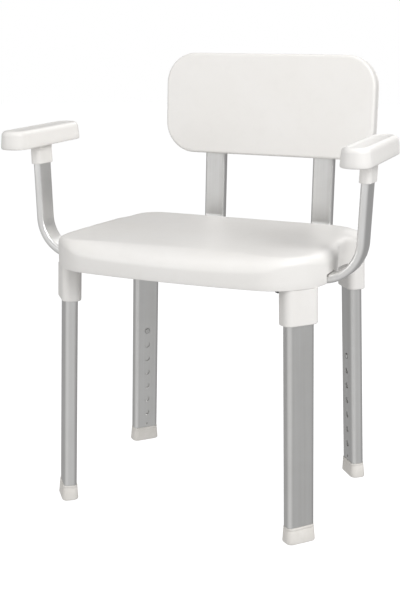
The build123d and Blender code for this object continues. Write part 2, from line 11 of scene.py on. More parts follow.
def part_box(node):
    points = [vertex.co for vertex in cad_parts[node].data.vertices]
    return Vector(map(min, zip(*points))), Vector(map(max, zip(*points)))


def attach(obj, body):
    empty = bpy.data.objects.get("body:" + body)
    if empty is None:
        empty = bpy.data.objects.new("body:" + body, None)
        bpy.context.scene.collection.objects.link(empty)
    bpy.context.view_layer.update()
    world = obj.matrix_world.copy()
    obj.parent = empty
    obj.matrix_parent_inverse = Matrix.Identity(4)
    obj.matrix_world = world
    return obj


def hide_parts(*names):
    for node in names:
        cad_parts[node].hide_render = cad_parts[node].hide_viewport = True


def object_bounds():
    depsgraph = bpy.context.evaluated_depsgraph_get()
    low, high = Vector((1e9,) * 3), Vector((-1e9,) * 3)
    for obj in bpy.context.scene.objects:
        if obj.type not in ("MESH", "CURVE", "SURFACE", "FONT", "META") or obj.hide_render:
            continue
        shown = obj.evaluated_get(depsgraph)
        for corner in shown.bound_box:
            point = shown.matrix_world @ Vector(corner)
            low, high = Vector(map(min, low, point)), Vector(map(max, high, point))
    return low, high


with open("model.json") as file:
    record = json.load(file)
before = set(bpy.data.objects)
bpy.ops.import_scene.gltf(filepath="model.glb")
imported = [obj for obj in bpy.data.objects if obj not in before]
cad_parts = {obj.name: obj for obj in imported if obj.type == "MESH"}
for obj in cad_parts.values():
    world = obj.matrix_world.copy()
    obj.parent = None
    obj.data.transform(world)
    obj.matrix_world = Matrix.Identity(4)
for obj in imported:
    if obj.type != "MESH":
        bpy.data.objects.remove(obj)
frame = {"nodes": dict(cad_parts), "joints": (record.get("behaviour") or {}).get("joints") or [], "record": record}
cad_low, cad_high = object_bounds()
scene = bpy.context.scene
PLACES = ("front_left", "front_right", "rear_left", "rear_right")
SIDES = {"left": -1, "right": 1}


# ---------------------------------------------------------------- camera, stage and light

def add_camera():
    """The photograph's viewpoint: right of front, a little above the armrests."""
    target = Vector((0.0157, -0.0335, 0.3585))
    azimuth, elevation, distance = math.radians(22.77), math.radians(12.01), 1.6221
    roll = math.radians(0.47)
    back = Vector((
        math.sin(azimuth) * math.cos(elevation),
        -math.cos(azimuth) * math.cos(elevation),
        math.sin(elevation),
    ))
    data = bpy.data.cameras.new("photo_camera")
    data.lens = 63.56
    data.sensor_width = 36.0
    data.shift_x = -0.0414
    data.shift_y = -0.0575
    data.clip_start = 0.05
    camera = bpy.data.objects.new("photo_camera", data)
    camera.location = target + back * distance
    turn = (-back).to_track_quat("-Z", "Y").to_matrix() @ Matrix.Rotation(roll, 3, "Z")
    camera.rotation_mode = "QUATERNION"
    camera.rotation_quaternion = turn.to_quaternion()
    scene.collection.objects.link(camera)
    scene.camera = camera


def add_softbox(name, azimuth, elevation, distance, wide, high, watts):
    """A rectangular soft light aimed at the chair. Azimuth 0 is in front, 90 to the right."""
    aim = Vector((0, 0, 0.4))
    a, e = math.radians(azimuth), math.radians(elevation)
    back = Vector((math.sin(a) * math.cos(e), -math.cos(a) * math.cos(e), math.sin(e)))
    data = bpy.data.lights.new(name, "AREA")
    data.shape = "RECTANGLE"
    data.size = wide
    data.size_y = high
    data.energy = watts
    light = bpy.data.objects.new(name, data)
    light.location = aim + back * distance
    light.rotation_mode = "QUATERNION"
    light.rotation_quaternion = (-back).to_track_quat("-Z", "Y")
    scene.collection.objects.link(light)


def add_world():
    """The sky that lights the chair: brightest in front, dimmer behind and above, and to the left."""
    world = bpy.data.worlds.new("studio")
    scene.world = world
    world.use_nodes = True
    nodes, links = world.node_tree.nodes, world.node_tree.links
    nodes.clear()
    out = nodes.new("ShaderNodeOutputWorld")
    sky = nodes.new("ShaderNodeBackground")
    coords = nodes.new("ShaderNodeTexCoord")
    split = nodes.new("ShaderNodeSeparateXYZ")
    links.new(coords.outputs["Generated"], split.inputs[0])
    facing = nodes.new("ShaderNodeMapRange")
    facing.inputs["From Min"].default_value = 1.0
    facing.inputs["From Max"].default_value = -1.0
    links.new(split.outputs["Y"], facing.inputs["Value"])
    ramp = nodes.new("ShaderNodeValToRGB")
    stops = ramp.color_ramp.elements
    stops[0].position, stops[0].color = 0.02, (0.34, 0.34, 0.34, 1)
    stops[1].position, stops[1].color = 0.96, (0.86, 0.86, 0.86, 1)
    middle = stops.new(0.60)
    middle.color = (0.54, 0.54, 0.54, 1)
    links.new(facing.outputs[0], ramp.inputs[0])
    height = nodes.new("ShaderNodeMapRange")
    height.inputs["From Min"].default_value = -0.05
    height.inputs["From Max"].default_value = 0.45
    height.inputs["To Min"].default_value = 1.0
    height.inputs["To Max"].default_value = 0.72
    links.new(split.outputs["Z"], height.inputs["Value"])
    across = nodes.new("ShaderNodeMapRange")
    across.inputs["From Min"].default_value = -1.0
    across.inputs["From Max"].default_value = 1.0
    across.inputs["To Min"].default_value = 0.90
    across.inputs["To Max"].default_value = 0.96
    links.new(split.outputs["X"], across.inputs["Value"])
    strength = nodes.new("ShaderNodeMath")
    strength.operation = "MULTIPLY"
    links.new(height.outputs[0], strength.inputs[0])
    links.new(across.outputs[0], strength.inputs[1])
    links.new(ramp.outputs[0], sky.inputs["Color"])
    links.new(strength.outputs[0], sky.inputs["Strength"])
    links.new(sky.outputs[0], out.inputs["Surface"])


def stage_material(name, albedo, glow):
    """Plain white paper that glows, so that it is seen as white."""
    material, *_, bsdf = new_material(name)
    bsdf.inputs["Base Color"].default_value = (albedo, albedo, albedo, 1)
    bsdf.inputs["Roughness"].default_value = 1.0
    bsdf.inputs["Specular IOR Level"].default_value = 0.0
    bsdf.inputs["Emission Color"].default_value = (1, 1, 1, 1)
    bsdf.inputs["Emission Strength"].default_value = glow
    return material


FLOOR_HALF = 14.0
WALL_RADIUS = 13.0
FLOOR_GAP = 0.001


def add_stage():
    """A plain white floor below the extended legs, and a white wall: seen but not lighting the chair."""
    leg_travel = max(
        joint["range_m"][1]
        for joint in frame["record"]["behaviour"]["joints"]
        if joint["name"].endswith("leg_extension")
    )
    floor_mesh = bmesh.new()
    bmesh.ops.create_grid(floor_mesh, x_segments=24, y_segments=24, size=FLOOR_HALF)
    floor_z = cad_low.z - leg_travel - FLOOR_GAP
    bmesh.ops.translate(floor_mesh, verts=floor_mesh.verts[:], vec=(0, 0, floor_z))
    wall_mesh = bmesh.new()
    bmesh.ops.create_uvsphere(wall_mesh, u_segments=48, v_segments=24, radius=WALL_RADIUS)
    for name, bm, material in (
        ("studio_floor", floor_mesh, stage_material("floor_paper", 0.26, 0.92)),
        ("studio_wall", wall_mesh, stage_material("wall_paper", 0.0, 1.0)),
    ):
        mesh = bpy.data.meshes.new(name)
        bm.to_mesh(mesh)
        bm.free()
        mesh.materials.append(material)
        stage_object = bpy.data.objects.new(name, mesh)
        scene.collection.objects.link(stage_object)
        stage_object.visible_diffuse = False
        stage_object.visible_glossy = False
        stage_object.visible_transmission = False
        stage_object.visible_shadow = False


# ---------------------------------------------------------------- materials

def new_material(name):
    """An empty node material with its Principled shader."""
    material = bpy.data.materials.new(name)
    material.use_nodes = True
    tree = material.node_tree
    return material, tree.nodes, tree.links, tree.nodes["Principled BSDF"]


def coordinates(nodes, links, scale=(1, 1, 1), turn=(0, 0, 0), uv=False):
    """Object or UV coordinates in metres, turned and then scaled."""
    coords = nodes.new("ShaderNodeTexCoord")
    turned = nodes.new("ShaderNodeMapping")
    turned.inputs["Rotation"].default_value = turn
    scaled = nodes.new("ShaderNodeMapping")
    scaled.inputs["Scale"].default_value = scale
    links.new(coords.outputs["UV" if uv else "Object"], turned.inputs["Vector"])
    links.new(turned.outputs[0], scaled.inputs["Vector"])
    return scaled.outputs[0]


def noise(nodes, links, vector, scale, detail=3.0, roughness=0.5, distortion=0.0):
    texture = nodes.new("ShaderNodeTexNoise")
    texture.inputs["Scale"].default_value = scale
    texture.inputs["Detail"].default_value = detail
    texture.inputs["Roughness"].default_value = roughness
    texture.inputs["Distortion"].default_value = distortion
    links.new(vector, texture.inputs["Vector"])
    return texture.outputs["Fac"]


def spread(nodes, links, value, low, high, start=0.3, end=0.7):
    """Maps a texture's middle range to low..high."""
    node = nodes.new("ShaderNodeMapRange")
    node.inputs["From Min"].default_value = start
    node.inputs["From Max"].default_value = end
    node.inputs["To Min"].default_value = low
    node.inputs["To Max"].default_value = high
    links.new(value, node.inputs["Value"])
    return node.outputs[0]


def blend_colours(nodes, links, factor, first, second):
    """Mixes two colours, each a tuple or another node's output."""
    node = nodes.new("ShaderNodeMix")
    node.data_type = "RGBA"
    links.new(factor, node.inputs["Factor"])
    colour_inputs = [s for s in node.inputs if s.type == "RGBA"]
    for socket, colour in zip(colour_inputs, (first, second)):
        if isinstance(colour, tuple):
            socket.default_value = (*colour, 1)
        else:
            links.new(colour, socket)
    return next(s for s in node.outputs if s.type == "RGBA")


def add_bump(nodes, links, bsdf, height, strength, distance):
    node = nodes.new("ShaderNodeBump")
    node.inputs["Strength"].default_value = strength
    node.inputs["Distance"].default_value = distance
    links.new(height, node.inputs["Height"])
    links.new(node.outputs[0], bsdf.inputs["Normal"])
    return node


def moulded_white(name, clean, aged, roughness, grain):
    """Injection-moulded white plastic: faint mottling, rubbed spots, scuffs and a fine moulded grain."""
    material, nodes, links, bsdf = new_material(name)
    vector = coordinates(nodes, links)
    mottle = noise(nodes, links, vector, 7.0, detail=4.0, roughness=0.55, distortion=0.4)
    film = noise(nodes, links, vector, 46.0, detail=5.0, roughness=0.65)
    tone = blend_colours(nodes, links, spread(nodes, links, mottle, 0.0, 1.0), clean, aged)
    deposit = tuple(c * 0.93 for c in aged)
    film_amount = spread(nodes, links, film, 0.0, 0.35, 0.5, 0.85)
    colour = blend_colours(nodes, links, film_amount, tone, deposit)
    links.new(colour, bsdf.inputs["Base Color"])
    scuff_vector = coordinates(nodes, links, scale=(60, 9, 60), turn=(0.2, 0.1, 0.5))
    scuffs = noise(nodes, links, scuff_vector, 6.0, detail=6.0, roughness=0.7, distortion=0.8)
    rubbed = spread(nodes, links, scuffs, roughness - 0.04, roughness + 0.07)
    links.new(rubbed, bsdf.inputs["Roughness"])
    fine = noise(nodes, links, vector, 1500.0, detail=2.0)
    wave = noise(nodes, links, vector, 24.0, detail=2.0)
    fine_bump = add_bump(nodes, links, bsdf, fine, grain, 0.00012)
    wave_bump = nodes.new("ShaderNodeBump")
    wave_bump.inputs["Strength"].default_value = 0.06
    wave_bump.inputs["Distance"].default_value = 0.002
    links.new(wave, wave_bump.inputs["Height"])
    links.new(wave_bump.outputs[0], fine_bump.inputs["Normal"])
    bsdf.inputs["IOR"].default_value = 1.49
    bsdf.inputs["Specular IOR Level"].default_value = 0.5
    return material


def anodised(name, turn=(0, 0, 0), uv=False, dark=(0.645, 0.64, 0.625), light=(0.71, 0.708, 0.70)):
    """Drawn and anodised aluminium: fine die lines along the tube, cloudy anodising and light rubbing."""
    material, nodes, links, bsdf = new_material(name)
    bsdf.inputs["Metallic"].default_value = 1.0
    along = (1, 0.012, 1) if uv else (1, 1, 0.012)
    vector = coordinates(nodes, links, scale=along, turn=turn, uv=uv)
    plain = coordinates(nodes, links, turn=turn, uv=uv)
    lines = noise(nodes, links, vector, 900.0, detail=5.0, roughness=0.7)
    bands = noise(nodes, links, vector, 160.0, detail=3.0, roughness=0.6)
    cloud = noise(nodes, links, plain, 22.0, detail=4.0, roughness=0.6, distortion=0.3)
    streaked = blend_colours(nodes, links, spread(nodes, links, bands, 0.0, 1.0), dark, light)
    worn = tuple(c * 1.05 for c in light)
    colour = blend_colours(nodes, links, spread(nodes, links, cloud, 0.0, 0.5), streaked, worn)
    links.new(colour, bsdf.inputs["Base Color"])
    links.new(spread(nodes, links, lines, 0.30, 0.44), bsdf.inputs["Roughness"])
    add_bump(nodes, links, bsdf, lines, 0.10, 0.00008)
    bsdf.inputs["Anisotropic"].default_value = 0.35
    return material


def foot_rubber(name):
    """Pale soft rubber: matt, speckled and a little scuffed."""
    material, nodes, links, bsdf = new_material(name)
    vector = coordinates(nodes, links)
    mottle = noise(nodes, links, vector, 60.0, detail=6.0, roughness=0.65)
    colour = blend_colours(
        nodes, links, spread(nodes, links, mottle, 0.0, 1.0), (0.76, 0.735, 0.70), (0.69, 0.665, 0.625)
    )
    links.new(colour, bsdf.inputs["Base Color"])
    scuff = noise(nodes, links, vector, 240.0, detail=4.0, roughness=0.7)
    links.new(spread(nodes, links, scuff, 0.48, 0.68), bsdf.inputs["Roughness"])
    add_bump(nodes, links, bsdf, scuff, 0.18, 0.0002)
    bsdf.inputs["Specular IOR Level"].default_value = 0.35
    return material


def bright_metal(name, dark, light, rough):
    """Machined or pressed small parts: spun lines, small stains and a satin shine."""
    material, nodes, links, bsdf = new_material(name)
    bsdf.inputs["Metallic"].default_value = 1.0
    vector = coordinates(nodes, links)
    stain = noise(nodes, links, vector, 180.0, detail=5.0, roughness=0.6)
    brushed = noise(nodes, links, coordinates(nodes, links, scale=(1, 1, 12)), 700.0, detail=3.0)
    links.new(
        blend_colours(nodes, links, spread(nodes, links, stain, 0.0, 1.0), dark, light),
        bsdf.inputs["Base Color"],
    )
    links.new(spread(nodes, links, brushed, rough - 0.06, rough + 0.1), bsdf.inputs["Roughness"])
    add_bump(nodes, links, bsdf, brushed, 0.08, 0.0001)
    return material


def knob_plastic(name):
    """Grey knobs with a coarse spark-eroded grain."""
    material, nodes, links, bsdf = new_material(name)
    vector = coordinates(nodes, links)
    grain = noise(nodes, links, vector, 1100.0, detail=3.0, roughness=0.6)
    dust = noise(nodes, links, vector, 70.0, detail=5.0, roughness=0.65)
    colour = blend_colours(
        nodes, links, spread(nodes, links, dust, 0.0, 1.0), (0.10, 0.105, 0.11), (0.16, 0.163, 0.165)
    )
    links.new(colour, bsdf.inputs["Base Color"])
    links.new(spread(nodes, links, dust, 0.5, 0.66), bsdf.inputs["Roughness"])
    add_bump(nodes, links, bsdf, grain, 0.35, 0.0002)
    return material


# ---------------------------------------------------------------- mesh tools

def rounded_rect(wide, long, corner, steps=8):
    """Points of a rounded rectangle, anticlockwise from its +X side."""
    points = []
    for quarter in range(4):
        side_x = 1 if quarter in (0, 3) else -1
        side_y = 1 if quarter in (0, 1) else -1
        centre = (side_x * (wide / 2 - corner), side_y * (long / 2 - corner))
        for step in range(steps + 1):
            angle = (quarter + step / steps) * math.pi / 2
            points.append((centre[0] + corner * math.cos(angle), centre[1] + corner * math.sin(angle)))
    return points


def loft(bm, rings, cap_start=False, cap_end=False, loop=False):
    """Joins rings of equal point counts with quads. UVs are metres round and along the loft."""
    uv_layer = bm.loops.layers.uv.verify()
    rows = [[bm.verts.new(point) for point in ring] for ring in rings]
    count = len(rows[0])
    around = [0.0]
    for index in range(count):
        step = (Vector(rings[0][(index + 1) % count]) - Vector(rings[0][index])).length
        around.append(around[-1] + step)
    along = [0.0]
    for here, there in zip(rings, rings[1:] + rings[:1]):
        along.append(along[-1] + (Vector(there[0]) - Vector(here[0])).length)
    last = len(rows) if loop else len(rows) - 1
    for row in range(last):
        lower, upper = rows[row], rows[(row + 1) % len(rows)]
        for index in range(count):
            after = (index + 1) % count
            face = bm.faces.new((lower[index], lower[after], upper[after], upper[index]))
            spots = (
                (around[index], along[row]),
                (around[index + 1], along[row]),
                (around[index + 1], along[row + 1]),
                (around[index], along[row + 1]),
            )
            for corner, spot in zip(face.loops, spots):
                corner[uv_layer].uv = spot
    if cap_start:
        bm.faces.new(list(reversed(rows[0])))
    if cap_end:
        bm.faces.new(rows[-1])


def add_piece(name, bm, material, body, replaced, sharp=38.0):
    """Makes one shown piece from a bmesh and hands it to its CAD body."""
    bmesh.ops.recalc_face_normals(bm, faces=bm.faces[:])
    mesh = bpy.data.meshes.new(name)
    bm.to_mesh(mesh)
    bm.free()
    mesh.materials.append(material)
    mesh.shade_smooth()
    mesh.set_sharp_from_angle(angle=math.radians(sharp))
    piece = bpy.data.objects.new(name, mesh)
    scene.collection.objects.link(piece)
    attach(piece, body)
    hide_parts(*replaced)
    return piece


def cut_boxes(bm, boxes):
    """Cuts boxes, given as low and high corners, out of a closed bmesh and returns the result."""
    mesh = bpy.data.meshes.new("uncut")
    bm.to_mesh(mesh)
    bm.free()
    body = bpy.data.objects.new("uncut", mesh)
    scene.collection.objects.link(body)
    cutters = []
    for low, high in boxes:
        box = bmesh.new()
        bmesh.ops.create_cube(box, size=1.0)
        for vert in box.verts:
            vert.co = Vector(high[i] if vert.co[i] > 0 else low[i] for i in range(3))
        cutter_mesh = bpy.data.meshes.new("cutter")
        box.to_mesh(cutter_mesh)
        box.free()
        cutter = bpy.data.objects.new("cutter", cutter_mesh)
        scene.collection.objects.link(cutter)
        cutters.append(cutter)
        modifier = body.modifiers.new("cut", "BOOLEAN")
        modifier.operation = "DIFFERENCE"
        modifier.solver = "EXACT"
        modifier.object = cutter
    bpy.context.view_layer.update()
    evaluated = body.evaluated_get(bpy.context.evaluated_depsgraph_get())
    result = bmesh.new()
    result.from_mesh(evaluated.to_mesh())
    evaluated.to_mesh_clear()
    for leftover in [body, *cutters]:
        leftover_mesh = leftover.data
        bpy.data.objects.remove(leftover)
        bpy.data.meshes.remove(leftover_mesh)
    return result


def axes_matrix(x_axis, y_axis, z_axis, origin):
    matrix = Matrix((x_axis, y_axis, z_axis)).transposed().to_4x4()
    matrix.translation = origin
    return matrix


def joint_axis(name):
    found = next(joint for joint in frame["joints"] if joint["name"] == name)
    return Vector(found["axis"]).normalized()


def leg_frame(place):
    """The leg's own frame: X across its wide face, Y towards the chair's middle, Z up the leg."""
    up = -joint_axis(f"{place}_leg_extension")
    inward = -joint_axis(f"{place}_leg_button_press")
    low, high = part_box(f"{place}_outer_leg")
    middle = (low + high) / 2
    return axes_matrix(inward.cross(up), inward, up, middle - up * (middle.z / up.z))


# ---------------------------------------------------------------- seat

SEAT_TOP = 0.412
SEAT_SKIRT = 0.368
SEAT_FRONT = -0.2157
SEAT_REAR = 0.1173
SEAT_ARM_X = 0.2085
SEAT_SCOOP_X = 0.192
SEAT_REAR_X = 0.207
SEAT_FRONT_BOW = 0.0158
SEAT_FRONT_CORNER = 0.075
SEAT_REAR_CORNER = 0.036
SCOOP_START = -0.084
SCOOP_DEEP = -0.034
SCOOP_LEAVE = -0.008
SCOOP_END = 0.052
SEAT_WALL = 0.0035
SEAT_DECK = 0.004
SEAT_MIDDLE_Y = (SEAT_FRONT + SEAT_REAR) / 2
SEAT_DISH = 0.0014
SEAT_LIP = 0.0011
RIM_LEAN = 0.0055
CREASE_HALF_CHORD = 0.157
CREASE_BULGE = 0.013
CREASE_FRONT = -0.1775
CREASE_REAR = 0.090
CREASE_FRONT_CORNER = 0.050
CREASE_REAR_CORNER = 0.030
CREASE_REAR_X = 0.1755
CREASE_WIDENING = 0.0145


def circle_from_bulge(half_chord, bulge):
    """The radius of the arc with this half chord and rise."""
    return (half_chord ** 2 + bulge ** 2) / (2 * bulge)


def round_meet(first, second, radius):
    """Distance to the overlap of two regions whose corner is rounded."""
    outside = math.hypot(max(first + radius, 0), max(second + radius, 0))
    return min(max(first, second), -radius) + outside


def ease(value, start, end):
    """0 at start, 1 at end, as two equal parabolas."""
    part = min(max((value - start) / (end - start), 0.0), 1.0)
    return 2 * part ** 2 if part < 0.5 else 1 - 2 * (1 - part) ** 2


def scoop_depth(y):
    """How deep in the hand scoop a place along the side is, 0 to 1."""
    return ease(y, SCOOP_START, SCOOP_DEEP) * (1 - ease(y, SCOOP_LEAVE, SCOOP_END))


def outline_distance(x, y, scoop_x=SEAT_SCOOP_X):
    """Distance outside the seat's plan: bowed front, scooped sides, straight rear."""
    front_r = circle_from_bulge(SEAT_ARM_X, SEAT_FRONT_BOW)
    front = math.hypot(x, y - SEAT_FRONT - front_r) - front_r
    unscooped = SEAT_ARM_X if y < SCOOP_DEEP else SEAT_REAR_X
    depth = scoop_depth(y)
    side = abs(x) - (unscooped * (1 - depth) + scoop_x * depth)
    corner = round_meet(front, side, SEAT_FRONT_CORNER)
    return round_meet(corner, y - SEAT_REAR, SEAT_REAR_CORNER)


def rim_distance(x, y):
    """The same a little higher up, where the scoop's wall leans out to its rim."""
    return outline_distance(x, y, SEAT_SCOOP_X + RIM_LEAN)


def crease_distance(x, y):
    """Distance outside the line where the flat top starts to roll down."""
    front_r = circle_from_bulge(CREASE_HALF_CHORD, CREASE_BULGE)
    front = front_r - math.hypot(x, y - CREASE_FRONT + front_r)
    reach = min(max((0.072 - y) / 0.165, 0.0), 1.0)
    side = abs(x) - (CREASE_REAR_X + CREASE_WIDENING * reach ** 1.6)
    corner = round_meet(front, side, CREASE_FRONT_CORNER)
    return round_meet(corner, y - CREASE_REAR, CREASE_REAR_CORNER)


def along_ray(distance, angle, offset=0.0):
    """The point on a ray from the seat's middle where a distance field reaches the offset."""
    near, far = 0.02, 0.30
    for _ in range(36):
        middle = (near + far) / 2
        x, y = middle * math.cos(angle), SEAT_MIDDLE_Y + middle * math.sin(angle)
        if distance(x, y) > offset:
            far = middle
        else:
            near = middle
    return Vector((near * math.cos(angle), SEAT_MIDDLE_Y + near * math.sin(angle)))


def even_angles(count):
    """Ray angles that space the outline's points evenly along it."""
    fine = 1440
    angles = [2 * math.pi * index / fine for index in range(fine + 1)]
    points = [along_ray(outline_distance, angle) for angle in angles]
    lengths = [0.0]
    for here, there in zip(points, points[1:]):
        lengths.append(lengths[-1] + (there - here).length)
    chosen, index = [], 0
    for step in range(count):
        goal = lengths[-1] * step / count
        while lengths[index + 1] < goal:
            index += 1
        part = (goal - lengths[index]) / (lengths[index + 1] - lengths[index])
        chosen.append(angles[index] + (angles[index + 1] - angles[index]) * part)
    return chosen


def roll_profile(part, power):
    """How far out and how far down the rolled edge is, each 0 to 1, for a part of its way."""
    start = math.radians(10)
    angle = start + (math.pi / 2 - start) * part
    first = math.sin(start) ** (2 / power)
    out = (max(math.sin(angle), 0.0) ** (2 / power) - first) / (1 - first)
    top = math.cos(start) ** (2 / power)
    return out, (top - max(math.cos(angle), 0.0) ** (2 / power)) / top


def seat_rings():
    """Rings from the middle of the top, over the rolled edge, down the skirt and back under the deck."""
    angles = even_angles(320)
    crease = [along_ray(crease_distance, angle) for angle in angles]
    rim = [along_ray(rim_distance, angle) for angle in angles]
    foot = [along_ray(outline_distance, angle) for angle in angles]
    inner_foot = [along_ray(outline_distance, angle, -SEAT_WALL) for angle in angles]
    middle = Vector((0, SEAT_MIDDLE_Y))
    rings = []
    for part in (0.03, 0.15, 0.3, 0.45, 0.6, 0.75, 0.88, 0.96):
        height = SEAT_TOP - SEAT_DISH * (1 - part ** 2) ** 2
        rings.append([(*(middle + (point - middle) * part), height) for point in crease])
    beside = [scoop_depth(point.y) if abs(point.x) > 0.15 else 0.0 for point in foot]
    drop = [
        0.006 + (0.5 - 0.28 * deep) * (outer - inner).length
        for inner, outer, deep in zip(crease, rim, beside)
    ]
    roll_steps = 16
    for step in range(roll_steps + 1):
        ring = []
        for inner, outer, fall, deep in zip(crease, rim, drop, beside):
            out, down = roll_profile(step / roll_steps, 2 + 1.8 * deep)
            ring.append((*(inner + (outer - inner) * out), SEAT_TOP - fall * down))
        rings.append(ring)
    for part in (0.33, 0.67, 1.0):
        rings.append([
            (*upper.lerp(lower, part), (SEAT_TOP - fall) * (1 - part) + (SEAT_SKIRT + SEAT_LIP) * part)
            for upper, lower, fall in zip(rim, foot, drop)
        ])
    for angle in (30, 60, 90):
        back = SEAT_LIP * (1 - math.cos(math.radians(angle)))
        low = SEAT_SKIRT + SEAT_LIP * (1 - math.sin(math.radians(angle)))
        rings.append([(*along_ray(outline_distance, a, -back), low) for a in angles])
    for back, low in ((SEAT_WALL - SEAT_LIP, 0.0), (SEAT_WALL, SEAT_LIP)):
        rings.append([(*along_ray(outline_distance, a, -back), SEAT_SKIRT + low) for a in angles])
    under = SEAT_TOP - SEAT_DECK
    for step in range(6, -1, -1):
        angle = math.pi / 2 * step / 6
        rings.append([
            (*(inner + (outer - inner) * math.sin(angle)), under - (1 - math.cos(angle)) * fall)
            for inner, outer, fall in zip(crease, inner_foot, drop)
        ])
    for part in (0.6, 0.03):
        rings.append([(*(middle + (point - middle) * part), under - SEAT_DISH) for point in crease])
    return rings


def make_seat(material):
    """The seat: one moulding with a waterfall front, hand scoops, and mouths in its skirt."""
    bm = bmesh.new()
    loft(bm, seat_rings(), cap_start=True, cap_end=True)
    bmesh.ops.recalc_face_normals(bm, faces=bm.faces[:])
    mouths = []
    for node in ("left_arm_tube", "right_arm_tube"):
        low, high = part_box(node)
        outside = 0.17 if high.x > 0 else -0.25
        mouths.append((
            (outside, low.y - MOUTH_CLEAR, SEAT_SKIRT - 0.01),
            (outside + 0.08, high.y + MOUTH_CLEAR, low.z + ARM_THICK + MOUTH_CLEAR + ARM_MOUTH_RISE),
        ))
    for node in ("left_back_post", "right_back_post"):
        low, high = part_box(node)
        mouths.append((
            (low.x - MOUTH_CLEAR, SEAT_REAR - 0.02, SEAT_SKIRT - 0.01),
            (high.x + MOUTH_CLEAR, SEAT_REAR + 0.02, low.z + POST_THICK + MOUTH_CLEAR),
        ))
    bm = cut_boxes(bm, mouths)
    return add_piece("seat_moulding", bm, material, "root", ["seat_shell"])


# ---------------------------------------------------------------- tubes

ARM_THICK = 0.012
ARM_WIDE = 0.035
ARM_LEAN = 0.039
POST_THICK = 0.0162
POST_WIDE = 0.0368
POST_LEAN = 0.0422
TUBE_WALL = 0.0015
ARM_BEND = 0.056
POST_BEND = 0.028
MOUTH_CLEAR = 0.0008
ARM_MOUTH_RISE = 0.0016
ARM_CORNER = 0.0048
POST_CORNER = 0.0055


def bent_path(start, knee, end, radius, steps=40):
    """Points and directions along two straight runs joined by an arc."""
    first = (knee - start).normalized()
    second = (end - knee).normalized()
    angle = first.angle(second)
    reach = radius * math.tan(angle / 2)
    arc_start = knee - first * reach
    centre = arc_start + (second - first * first.dot(second)).normalized() * radius
    axis = first.cross(second).normalized()
    path = []
    for step in range(9):
        path.append((start.lerp(arc_start, step / 8), first))
    for step in range(1, steps):
        turn = Matrix.Rotation(angle * step / steps, 3, axis)
        path.append((centre + turn @ (arc_start - centre), turn @ first))
    arc_end = knee + second * reach
    for step in range(13):
        path.append((arc_end.lerp(end, step / 12), second))
    return path


def flat_tube(bm, path, wide_axis, wide, thick, corner):
    """A hollow flat tube along a path that bends in the plane across wide_axis."""
    def rings(inset):
        outline = rounded_rect(wide - 2 * inset, thick - 2 * inset, corner - inset)
        made = []
        for point, direction in path:
            across = direction.cross(wide_axis)
            made.append([tuple(point + wide_axis * a + across * b) for a, b in outline])
        return made
    outer, inner = rings(0), rings(TUBE_WALL)
    loft(bm, outer + list(reversed(inner)), loop=True)


def make_arm_tube(name, side, material):
    """The arm's flat tube: level under the seat, then bent up and leaning out."""
    low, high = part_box(f"{name}_arm_tube")
    y, run_z = (low.y + high.y) / 2, low.z + ARM_THICK / 2
    inner_x, outer_x = (high.x, low.x) if side < 0 else (low.x, high.x)
    top = Vector((outer_x - side * ARM_THICK / 2, y, high.z - 0.0002))
    knee = Vector((top.x - side * ARM_LEAN * (top.z - run_z), y, run_z))
    path = bent_path(Vector((inner_x, y, run_z)), knee, top, ARM_BEND)
    bm = bmesh.new()
    flat_tube(bm, path, Vector((0, 1, 0)), ARM_WIDE, ARM_THICK, ARM_CORNER)
    add_piece(f"{name}_arm_bar", bm, material, f"{name}_arm", [f"{name}_arm_tube"])


def make_back_post(name, material):
    """One of the two flat posts: level under the seat, then bent up behind it."""
    low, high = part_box(f"{name}_back_post")
    x, run_z = (low.x + high.x) / 2, low.z + POST_THICK / 2
    top = Vector((x, high.y - POST_THICK / 2, high.z - 0.0003))
    knee = Vector((x, top.y - POST_LEAN * (top.z - run_z), run_z))
    path = bent_path(Vector((x, low.y, run_z)), knee, top, POST_BEND)
    bm = bmesh.new()
    flat_tube(bm, path, Vector((1, 0, 0)), POST_WIDE, POST_THICK, POST_CORNER)
    add_piece(f"{name}_back_bar", bm, material, "back", [f"{name}_back_post"])


# ---------------------------------------------------------------- backrest

PANEL_WIDE = 0.370
PANEL_HIGH = 0.169
PANEL_THICK = 0.025
PANEL_CORNER = 0.052
PANEL_WALL = 0.003
PANEL_CROWN = 0.0007
PANEL_ROLL = 0.0042
PANEL_SLOT_CLEAR = 0.0004
PANEL_SLOT_DEEP = 0.0265
PANEL_SLOT_HIGH = 0.0055


def panel_frame():
    """X to the right, Y up the panel, Z forward out of its face; the origin is the panel's middle."""
    low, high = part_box("backrest_front_panel")
    forward = Vector((0, -1, POST_LEAN)).normalized()
    x_axis = Vector((1, 0, 0))
    return axes_matrix(x_axis, forward.cross(x_axis), forward, (low + high) / 2)


